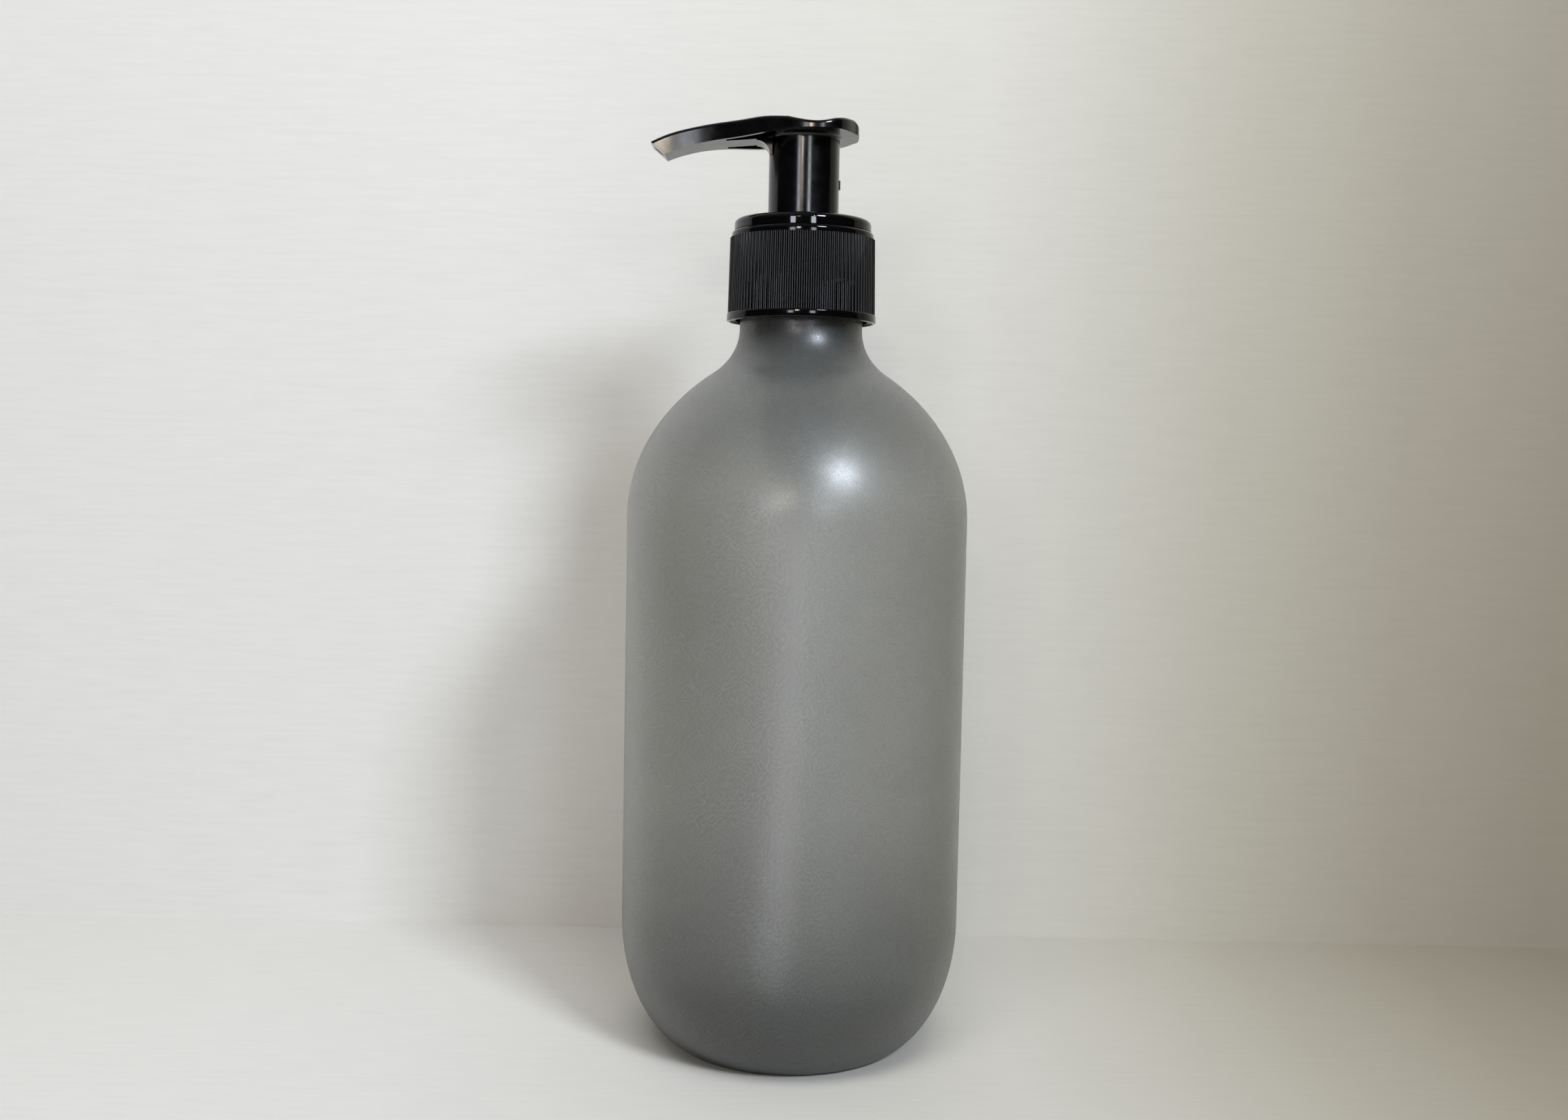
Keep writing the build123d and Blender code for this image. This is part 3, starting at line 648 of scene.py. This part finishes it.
@dataclass
class Bottle:
    """Blown bottle that carries everything else, in millimetres.

    Its outline has the same sizes as the frame's bottle, drawn finer so that its long curves show no facets.

    Attributes:
        body_r: Radius of the straight body.
        wall: Wall thickness.
        foot_inset: How far the foot stands in from the body.
        foot_ring_w: Width of the ring that it stands on.
        foot_edge_r: Rounding of the foot's outer edge.
        push_up: Height of the pushed-up bottom.
        push_up_slope: Share of that height that falls straight and not in a curve.
        heel_radial: Heel's semi-axis along the radius.
        heel_rise: Heel's semi-axis along the height.
        shoulder_radial: Shoulder's semi-axis along the radius.
        shoulder_ratio: Shoulder's height over its width, and the same for the neck's hollow curve.
        neck_blend_r: Hollow curve between shoulder and neck, along the radius.
        blend_top: Height where that curve ends.
        neck_plain_h: Height of the plain neck below the thread.
        neck_r: Radius of the plain neck.
        thread_root_r: Radius between the turns of the thread.
        neck_top: Height of the neck's top.
        bore_r: Radius of the neck's bore.
        columns: Points round the axis.
        thread_row: Most height between two rings on the thread.
        curve_steps: Spans of the heel, the shoulder, the neck's hollow curve, the bottom and the foot's edge.
        sharp_deg: Edges that turn by more than this stay sharp.
        thread: Thread of the neck.
        finish: Finish of the wall.
    """

    body_r: float = field(default_factory=lambda: narrowest_radius("bottle"))
    wall: float = 1.0
    foot_inset: float = 11.8
    foot_ring_w: float = 3.7
    foot_edge_r: float = 0.25
    push_up: float = 3.6
    push_up_slope: float = 0.12
    heel_radial: float = 17.1
    heel_rise: float = 28.3
    shoulder_radial: float = 46.7
    shoulder_ratio: float = 0.84
    neck_blend_r: float = 14.4
    blend_top: float = 153.8
    neck_plain_h: float = 2.6
    neck_r: float = 13.1
    thread_root_r: float = 12.65
    neck_top: float = 170.95
    bore_r: float = 10.8
    columns: int = 192
    thread_row: float = 0.22
    curve_steps: tuple[int, int, int, int, int] = (28, 36, 18, 12, 5)
    sharp_deg: float = 25.0
    thread: ScrewThread = ScrewThread(161.95)
    finish: FrostedPet = field(default_factory=FrostedPet)

    def side_line(self, inset: float, top_r: float) -> list[tuple[float, float]]:
        """Outline from the foot to the neck.

        Args:
            inset: Distance inside the outer skin.
            top_r: Radius where the line ends at the neck.

        Returns:
            Radius and height of each point.
        """
        radius = self.body_r - inset
        heel = (self.heel_radial - inset, self.heel_rise - inset)
        foot = self.body_r - self.foot_inset - inset * 0.5
        foot_share = (self.heel_radial - self.foot_inset) / self.heel_radial
        heel_z = self.heel_rise * math.sin(math.acos(foot_share)) + self.foot_edge_r
        foot_angle = math.degrees(math.acos((foot - radius + heel[0]) / heel[0]))
        shoulder_a = self.shoulder_radial - inset
        ratio = (self.shoulder_radial * self.shoulder_ratio - inset) / shoulder_a
        blend_r = self.neck_blend_r + self.neck_r - top_r
        outer_across = self.neck_r + self.neck_blend_r - self.body_r + self.shoulder_radial
        outer_rise = math.sqrt((self.shoulder_radial + self.neck_blend_r) ** 2 - outer_across ** 2)
        body_top = self.blend_top - self.shoulder_ratio * outer_rise
        across = top_r + blend_r - radius + shoulder_a
        rise = math.sqrt((shoulder_a + blend_r) ** 2 - across ** 2)
        meet = math.degrees(math.atan2(rise, across))
        blend_z = body_top + ratio * rise
        heel_steps, shoulder_steps, blend_steps = self.curve_steps[:3]
        line = oval_points((radius - heel[0], heel_z), heel, -foot_angle, 0.0, heel_steps)
        line += oval_points((radius - shoulder_a, body_top), (shoulder_a, ratio * shoulder_a), 0.0, meet,
                            shoulder_steps)
        line += oval_points((top_r + blend_r, blend_z), (blend_r, ratio * blend_r), meet + 180, 180.0,
                            blend_steps)[1:]
        return line

    def bottom_line(self, inset: float, edge: float) -> list[tuple[float, float]]:
        """Pushed-up bottom from the axis to the standing ring.

        Args:
            inset: Height over the underside.
            edge: Radius where it ends.

        Returns:
            Radius and height of each point.
        """
        steps = self.curve_steps[3]
        shares = [step / steps for step in range(steps + 1)]
        crown = 1 - self.push_up_slope
        falls = [1 - self.push_up_slope * share - crown * share * share for share in shares]
        return [(edge * share, inset + self.push_up * fall) for share, fall in zip(shares, falls)]

    def neck_heights(self) -> list[float]:
        """Heights of the rings between the plain neck and the neck's top, close together on the thread."""
        low = self.thread.start - self.thread.half_root
        high = self.thread.start + self.thread.turns * self.thread.pitch + self.thread.half_root
        count = math.ceil((high - low) / self.thread_row)
        return [low + (high - low) * step / count for step in range(count + 1)]

    def build(self) -> None:
        """Makes the bottle's wall and lets it stand for the frame's bottle."""
        angles = [math.tau * column / self.columns for column in range(self.columns)]
        mesh = TurnedMesh("bottle_wall")
        foot_r = self.body_r - self.foot_inset
        outer = self.bottom_line(0.0, foot_r - self.foot_ring_w)
        edge = self.foot_edge_r
        outer += oval_points((foot_r - edge, edge), (edge, edge), -90.0, 0.0, self.curve_steps[4])[:-1]
        outer += self.side_line(0.0, self.neck_r)
        step_z = self.blend_top + self.neck_plain_h
        outer += [(self.neck_r, step_z), (self.thread_root_r, step_z + self.neck_r - self.thread_root_r)]
        outer += [(self.thread_root_r, height) for height in self.neck_heights()]
        outer += [(self.thread_root_r, self.neck_top), (self.bore_r, self.neck_top)]
        inner = self.side_line(self.wall, self.bore_r)[::-1]
        inner += self.bottom_line(self.wall, inner[-1][0])[-2::-1]
        for slot, line in enumerate((outer, inner)):
            for radius, height in line:
                threaded = radius == self.thread_root_r
                points = [(radius + (self.thread.rise(height, angle) if threaded else 0.0), height, angle)
                          for angle in angles]
                mesh.add_ring(points if radius > 0 else points[:1], slot)
        piece = mesh.build([self.finish.material(), self.finish.inside_material()], self.sharp_deg)
        stand_in(piece, "bottle", "bottle")


@dataclass
class Closure:
    """Ribbed screw closure, in millimetres.

    It has the same sizes as the frame's closure, with the crest of every rib rounded as the cutter left it.

    Attributes:
        skirt: Height of its lower edge.
        rim_r: Radius of the rim.
        rim_h: Height of the rim.
        rim_edge_r: Rounding of the rim's edges.
        rib_base_r: Radius between the ribs.
        rib_low: How far a rib stands out at its foot.
        rib_high: How far it stands out at its top.
        rib_h: Height of the ribs.
        rib_count: Number of ribs.
        rib_crest_r: Rounding of a rib's crest.
        rib_columns: Places of the points across one rib, in crest radii from its middle.
        root_rise: Height of the hollow curve between two ribs.
        band_r: Radius of the plain band above the ribs.
        band_edge_r: Rounding of the band's upper edge.
        top: Height of the top plate's upper face.
        opening_r: Radius of the opening in the top plate.
        ceiling: Height of the top plate's lower face.
        bore_r: Radius of the inside between the turns of the thread.
        tooth_count: Number of ratchet teeth inside the rim.
        tooth_inset: Height of the teeth over the lower edge.
        tooth_recess: Height over the lower edge where the teeth end.
        tooth_out_r: Radius between the teeth.
        inner_columns: Points round the inside.
        thread_row: Most height between two rings on the thread.
        edge_steps: Spans of each rounded edge of the rim.
        band_steps: Spans of the band's rounded edge.
        rib_rows: Spans along the height of a rib.
        sharp_deg: Edges that turn by more than this stay sharp.
        thread: Thread of the inside.
        finish: Finish of the whole piece.
    """

    skirt: float = 155.3
    rim_r: float = 15.95
    rim_h: float = 1.75
    rim_edge_r: float = 0.3
    rib_base_r: float = 15.1
    rib_low: float = 0.65
    rib_high: float = 0.35
    rib_h: float = 15.9
    rib_count: int = 100
    rib_crest_r: float = 0.3066
    rib_columns: tuple[float, ...] = (
        -1.61, -1.3, -1.02, -0.93, -0.72, -0.38, 0.0, 0.38, 0.72, 0.93, 1.02, 1.3)
    root_rise: float = 0.08
    band_r: float = 15.15
    band_edge_r: float = 0.85
    top: float = 174.45
    opening_r: float = 9.15
    ceiling: float = 173.25
    bore_r: float = 14.1
    tooth_count: int = 60
    tooth_inset: float = 0.25
    tooth_recess: float = 1.0
    tooth_out_r: float = 15.3
    inner_columns: int = 240
    thread_row: float = 0.25
    edge_steps: int = 4
    band_steps: int = 8
    rib_rows: int = 6
    sharp_deg: float = 50.0
    thread: ScrewThread = ScrewThread(159.835)
    finish: Finish = field(default_factory=lambda: BlackPolypropylene(ior=1.36))

    def outer_angles(self) -> list[float]:
        """Angles of the points on the outside, gathered where each rib curves."""
        pitch = math.tau / self.rib_count
        crest = self.rib_crest_r / (self.rib_base_r + self.rib_low)
        return [pitch * rib + crest * place for rib in range(self.rib_count) for place in self.rib_columns]

    def rib_ring(self, height: float, angles: list[float]) -> list[tuple[float, float, float]]:
        """Ring across the ribs at one height.

        Args:
            height: Height in millimetres.
            angles: Angles of its points, in the order of rib_columns.

        Returns:
            Radius, height and angle of each point.
        """
        share = (height - self.skirt - self.rim_h) / self.rib_h
        tall = self.rib_low + (self.rib_high - self.rib_low) * share
        curl = min(self.rib_crest_r / tall, 1.0)
        half_gap = -self.rib_columns[0] - 1
        rises = [tall * (1 - curl * (1 - math.sqrt(1 - place * place))) if abs(place) < 1
                 else self.root_rise * (1 - (abs(place) - 1) / half_gap) ** 2 for place in self.rib_columns]
        return [(self.rib_base_r + rises[order % len(rises)], height, angle)
                for order, angle in enumerate(angles)]

    def outer_rings(self) -> list[list[tuple[float, float, float]]]:
        """Rings of the outside, from the rim's underside up to the top plate."""
        angles = self.outer_angles()
        edge, ribs, band = self.rim_edge_r, self.skirt + self.rim_h, self.skirt + self.rim_h + self.rib_h
        rim = oval_points((self.rim_r - edge, self.skirt + edge), (edge, edge), -90.0, 0.0, self.edge_steps)
        rim += oval_points((self.rim_r - edge, ribs - edge), (edge, edge), 0.0, 90.0, self.edge_steps)
        top = [(self.band_r, band)]
        top += oval_points((self.band_r - self.band_edge_r, self.top - self.band_edge_r),
                           (self.band_edge_r, self.band_edge_r), 0.0, 90.0, self.band_steps)
        rings = [[(radius, height, angle) for angle in angles] for radius, height in rim]
        rings += [self.rib_ring(ribs + self.rib_h * step / self.rib_rows, angles)
                  for step in range(self.rib_rows + 1)]
        return rings + [[(radius, height, angle) for angle in angles] for radius, height in top]

    def tooth_ring(self, height: float, angles: list[float]) -> list[tuple[float, float, float]]:
        """Ring across the ratchet teeth at one height.

        Args:
            height: Height in millimetres.
            angles: Angles of its points, four to a tooth.

        Returns:
            Radius, height and angle of each point.
        """
        per_tooth = self.inner_columns // self.tooth_count
        return [(self.bore_r if order % per_tooth < per_tooth / 2 else self.tooth_out_r, height, angle)
                for order, angle in enumerate(angles)]

    def inner_rings(self) -> list[list[tuple[float, float, float]]]:
        """Rings of the inside, from the top plate's opening down to the rim's underside."""
        angles = [math.tau * column / self.inner_columns for column in range(self.inner_columns)]
        recess = self.skirt + self.tooth_recess
        count = math.ceil((self.ceiling - recess) / self.thread_row)
        heights = [self.ceiling + (recess - self.ceiling) * step / count for step in range(count + 1)]
        rings = [[(self.opening_r, height, angle) for angle in angles] for height in (self.top, self.ceiling)]
        rings += [[(self.bore_r - self.thread.rise(height, angle), height, angle) for angle in angles]
                  for height in heights]
        rings += [self.tooth_ring(height, angles) for height in (recess, self.skirt + self.tooth_inset)]
        return rings + [[(self.tooth_out_r, height, angle) for angle in angles]
                        for height in (self.skirt + self.tooth_inset, self.skirt)]

    def build(self) -> None:
        """Makes the closure and lets it stand for the frame's closure."""
        mesh = TurnedMesh("closure_shell")
        for ring in self.outer_rings() + self.inner_rings():
            mesh.add_ring(ring)
        mesh.join(mesh.rings[-1], mesh.rings[0], 0)
        stand_in(mesh.build([self.finish.material()], self.sharp_deg), "closure", "closure")


@dataclass
class PumpCore:
    """Housing with its gasket, collar, tube, spring and ball.

    Attributes:
        solid_share: Spring's length when the plunger is down, as a share of its length at rest. Not used.
        collar: Finish of the lock collar.
        body: Finish of the housing.
        tube: Finish of the dip tube.
        gasket: Finish of the gasket.
        wire: Finish of the spring.
        ball: Finish of the inlet ball.
    """

    solid_share: float = 0.338
    collar: Finish = field(default_factory=lambda: BlackPolypropylene(MouldPolish.MIRROR))
    body: Finish = field(default_factory=NaturalPlastic)
    tube: Finish = field(default_factory=lambda: NaturalPlastic(
        name="natural_polyethylene_tube", colour="#FCFCFF", clear_share=0.45, roughness=0.35, ior=1.35,
        flow_mm=1.6, stretch=12.0, glow=0.05))
    gasket: Finish = field(default_factory=FoamedPolyethylene)
    wire: Finish = field(default_factory=SpringSteel)
    ball: Finish = field(default_factory=SodaLimeGlass)

    def build(self) -> None:
        """Dresses the pump's fixed pieces and gives the spring a mesh of its own."""
        dress("lock_collar", self.collar.material())
        dress("housing", self.body.material())
        dress("dip_tube", self.tube.material())
        dress("gasket", self.gasket.material())
        dress("inlet_ball", self.ball.material())
        spring = dress("spring", self.wire.material())
        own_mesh(spring)


@dataclass
class Plunger:
    """Stem, piston and seat that move with the head.

    Attributes:
        stem: Finish of the stem and its seat.
        seal: Finish of the piston.
    """

    stem: Finish = field(default_factory=lambda: NaturalPlastic(
        name="natural_polypropylene_stem", colour="#E1E3DF", clear_share=0.25))
    seal: Finish = field(default_factory=lambda: NaturalPlastic(
        name="white_polyethylene", colour="#EFEFEC", clear_share=0.12, roughness=0.45, ior=1.51, flow_mm=1.2))

    def build(self) -> None:
        """Dresses the plunger's pieces."""
        stem = self.stem.material()
        dress("stem", stem)
        dress("piston_seat", stem)
        dress("piston", self.seal.material())


@dataclass
class Head:
    """Actuator with its finger pad, arm and skirt."""

    finish: Finish = field(default_factory=lambda: BlackPolypropylene(MouldPolish.DRAWN))

    def build(self) -> None:
        """Dresses the actuator."""
        dress("actuator", self.finish.material())


# ---------------------------------------------------------------- studio
@dataclass
class SoftLamp:
    """Soft box aimed at the object.

    Attributes:
        name: The lamp's name.
        azimuth: Direction from the object, in degrees to the right of its front.
        elevation: Height angle above the horizon, in degrees.
        distance: Distance from the aim point.
        size: Width and height of its face.
        power: Power in watts.
        colour: Colour of its light.
        aim: Point that it faces.
        mirrored: Whether glossy and clear surfaces show it.
    """

    name: str
    azimuth: float
    elevation: float
    distance: float
    size: tuple[float, float]
    power: float
    colour: str
    aim: tuple[float, float, float] = (0.0, 0.0, 0.11)
    mirrored: bool = True

    def build(self) -> None:
        """Makes the lamp and hides its face from the camera."""
        data = bpy.data.lights.new(self.name, "AREA")
        data.shape = "RECTANGLE"
        data.size, data.size_y = self.size
        data.energy = self.power
        data.color = linear_colour(self.colour)[:3]
        lamp = bpy.data.objects.new(self.name, data)
        bpy.context.scene.collection.objects.link(lamp)
        side, rise = math.radians(self.azimuth), math.radians(self.elevation)
        towards = Vector((math.sin(side) * math.cos(rise), -math.cos(side) * math.cos(rise), math.sin(rise)))
        lamp.location = Vector(self.aim) + towards * self.distance
        lamp.rotation_mode = "QUATERNION"
        lamp.rotation_quaternion = towards.to_track_quat("Z", "Y")
        lamp.visible_camera = False
        lamp.visible_glossy = self.mirrored
        lamp.visible_transmission = self.mirrored
        log.info("lamp %s: %.0f W", self.name, self.power)


@dataclass
class ViewCamera:
    """Camera in front of the bottle, about level with its shoulder.

    Attributes:
        place: Where it stands.
        pan: Turn to the left, in degrees.
        tilt: Tilt below the horizon, in degrees.
        roll: Roll to the left, in degrees.
        lens_mm: Focal length on a sensor 36 mm wide.
    """

    place: tuple[float, float, float] = (0.0, -0.3422, 0.12704)
    pan: float = 0.443
    tilt: float = 3.779
    roll: float = 1.135
    lens_mm: float = 36.41

    def build(self) -> None:
        """Makes the camera and gives it to the scene."""
        data = bpy.data.cameras.new("camera")
        data.lens = self.lens_mm
        data.sensor_width = 36.0
        data.clip_start = 0.01
        camera = bpy.data.objects.new("camera", data)
        bpy.context.scene.collection.objects.link(camera)
        turn = (Matrix.Rotation(math.radians(self.pan), 4, "Z")
                @ Matrix.Rotation(math.radians(90 - self.tilt), 4, "X")
                @ Matrix.Rotation(math.radians(self.roll), 4, "Z"))
        camera.matrix_world = Matrix.Translation(self.place) @ turn
        bpy.context.scene.camera = camera


@dataclass
class Studio:
    """Shelf with a wall close behind the bottle, soft lamps, pale surroundings and the camera.

    Attributes:
        half_width: Half the width of shelf and wall.
        front: How far the shelf runs in front of the bottle.
        back: Where the wall stands behind the bottle.
        top: Height of the wall.
        board: Finish of shelf and wall.
        camera: The camera.
        lamps: The soft boxes.
        room: Share of the way from left to right and colour of the room's light.
        depth_fade: Depth of a direction where the room stops being dim, and where it is fully lit.
        depth_light: Strength of the room's light in front and behind.
        height_fade: Height of a direction where the ceiling starts, and where it is fully lit.
        height_light: Strength of the ceiling's light at those heights.
    """

    half_width: float = 0.95
    front: float = 1.6
    back: float = 0.0746
    top: float = 1.3
    board: Finish = field(default_factory=PaintedBoard)
    camera: ViewCamera = field(default_factory=ViewCamera)
    lamps: tuple[SoftLamp, ...] = (
        SoftLamp("key_right", 33.0, 33.0, 1.3, (0.26, 0.26), 13.0, "#E6F0FF"),
        SoftLamp("key_left", -6.5, 17.0, 1.3, (0.12, 0.12), 1.6, "#FFF0DC"),
        SoftLamp("panel_right", 17.0, 10.7, 1.4, (0.18, 0.22), 1.6, "#EDF3FF"),
        SoftLamp("panel_left", -16.3, 10.7, 1.4, (0.19, 0.22), 1.5, "#F1F5FF"),
        SoftLamp("backdrop_lamp", 10.0, 57.0, 0.96, (0.7, 0.4), 5.8, "#FDFDFF", (-0.15, 0.05, 0.15), False),
    )
    room: tuple[tuple[float, str], ...] = ((0.0, "#E3E7EC"), (0.5, "#A9A8A6"), (1.0, "#5A5855"))
    depth_fade: tuple[float, float] = (0.22, 0.34)
    depth_light: tuple[float, float] = (0.02, 1.1)
    height_fade: tuple[float, float] = (0.2, 1.0)
    height_light: tuple[float, float] = (0.0, 0.45)

    def build_walls(self) -> None:
        """Makes the shelf and the wall as two flat boards that meet in a sharp corner."""
        sheet = bmesh.new()
        profile = ((-self.front, 0.0), (self.back, 0.0), (self.back, self.top))
        rows = [[sheet.verts.new((side * self.half_width, y, z)) for side in (-1, 1)] for y, z in profile]
        for low, high in zip(rows, rows[1:]):
            sheet.faces.new((low[0], low[1], high[1], high[0]))
        mesh = bpy.data.meshes.new("backdrop")
        sheet.to_mesh(mesh)
        sheet.free()
        mesh.materials.append(self.board.material())
        backdrop = bpy.data.objects.new("backdrop", mesh)
        bpy.context.scene.collection.objects.link(backdrop)

    def build_surroundings(self) -> None:
        """Makes the room: dim in front of the bottle, pale overhead and behind, lighter on the left."""
        world = bpy.data.worlds.new("room")
        bpy.context.scene.world = world
        world.use_nodes = True
        tree = world.node_tree
        tree.nodes.clear()
        way = add_node(tree, "ShaderNodeTexCoord").outputs["Generated"]
        parts = add_node(tree, "ShaderNodeSeparateXYZ", inputs=(way,))
        across = add_node(tree, "ShaderNodeMapRange", inputs=(parts.outputs["X"], -1.0, 1.0))
        shade = add_node(tree, "ShaderNodeValToRGB", inputs=(across,), stops=self.room)
        depth = add_node(tree, "ShaderNodeMapRange", inputs=(
            parts.outputs["Y"], *self.depth_fade, *self.depth_light))
        height = add_node(tree, "ShaderNodeMapRange", inputs=(
            parts.outputs["Z"], *self.height_fade, *self.height_light))
        both = add_node(tree, "ShaderNodeMath", {"operation": "MAXIMUM"}, (depth, height))
        light = add_node(tree, "ShaderNodeBackground", inputs=(shade, both))
        add_node(tree, "ShaderNodeOutputWorld", inputs=(light,))

    def build(self) -> None:
        """Makes everything that surrounds the object."""
        self.build_walls()
        self.build_surroundings()
        for lamp in self.lamps:
            lamp.build()
        self.camera.build()
        bpy.context.scene.view_settings.view_transform = "Standard"


def main() -> None:
    """Builds the studio and every sub-assembly in order."""
    Studio().build()
    for assembly in (Bottle(), PumpCore(), Closure(), Plunger(), Head()):
        assembly.build()
        log.info("built %s", type(assembly).__name__)


if __name__ == "__main__":
    main()
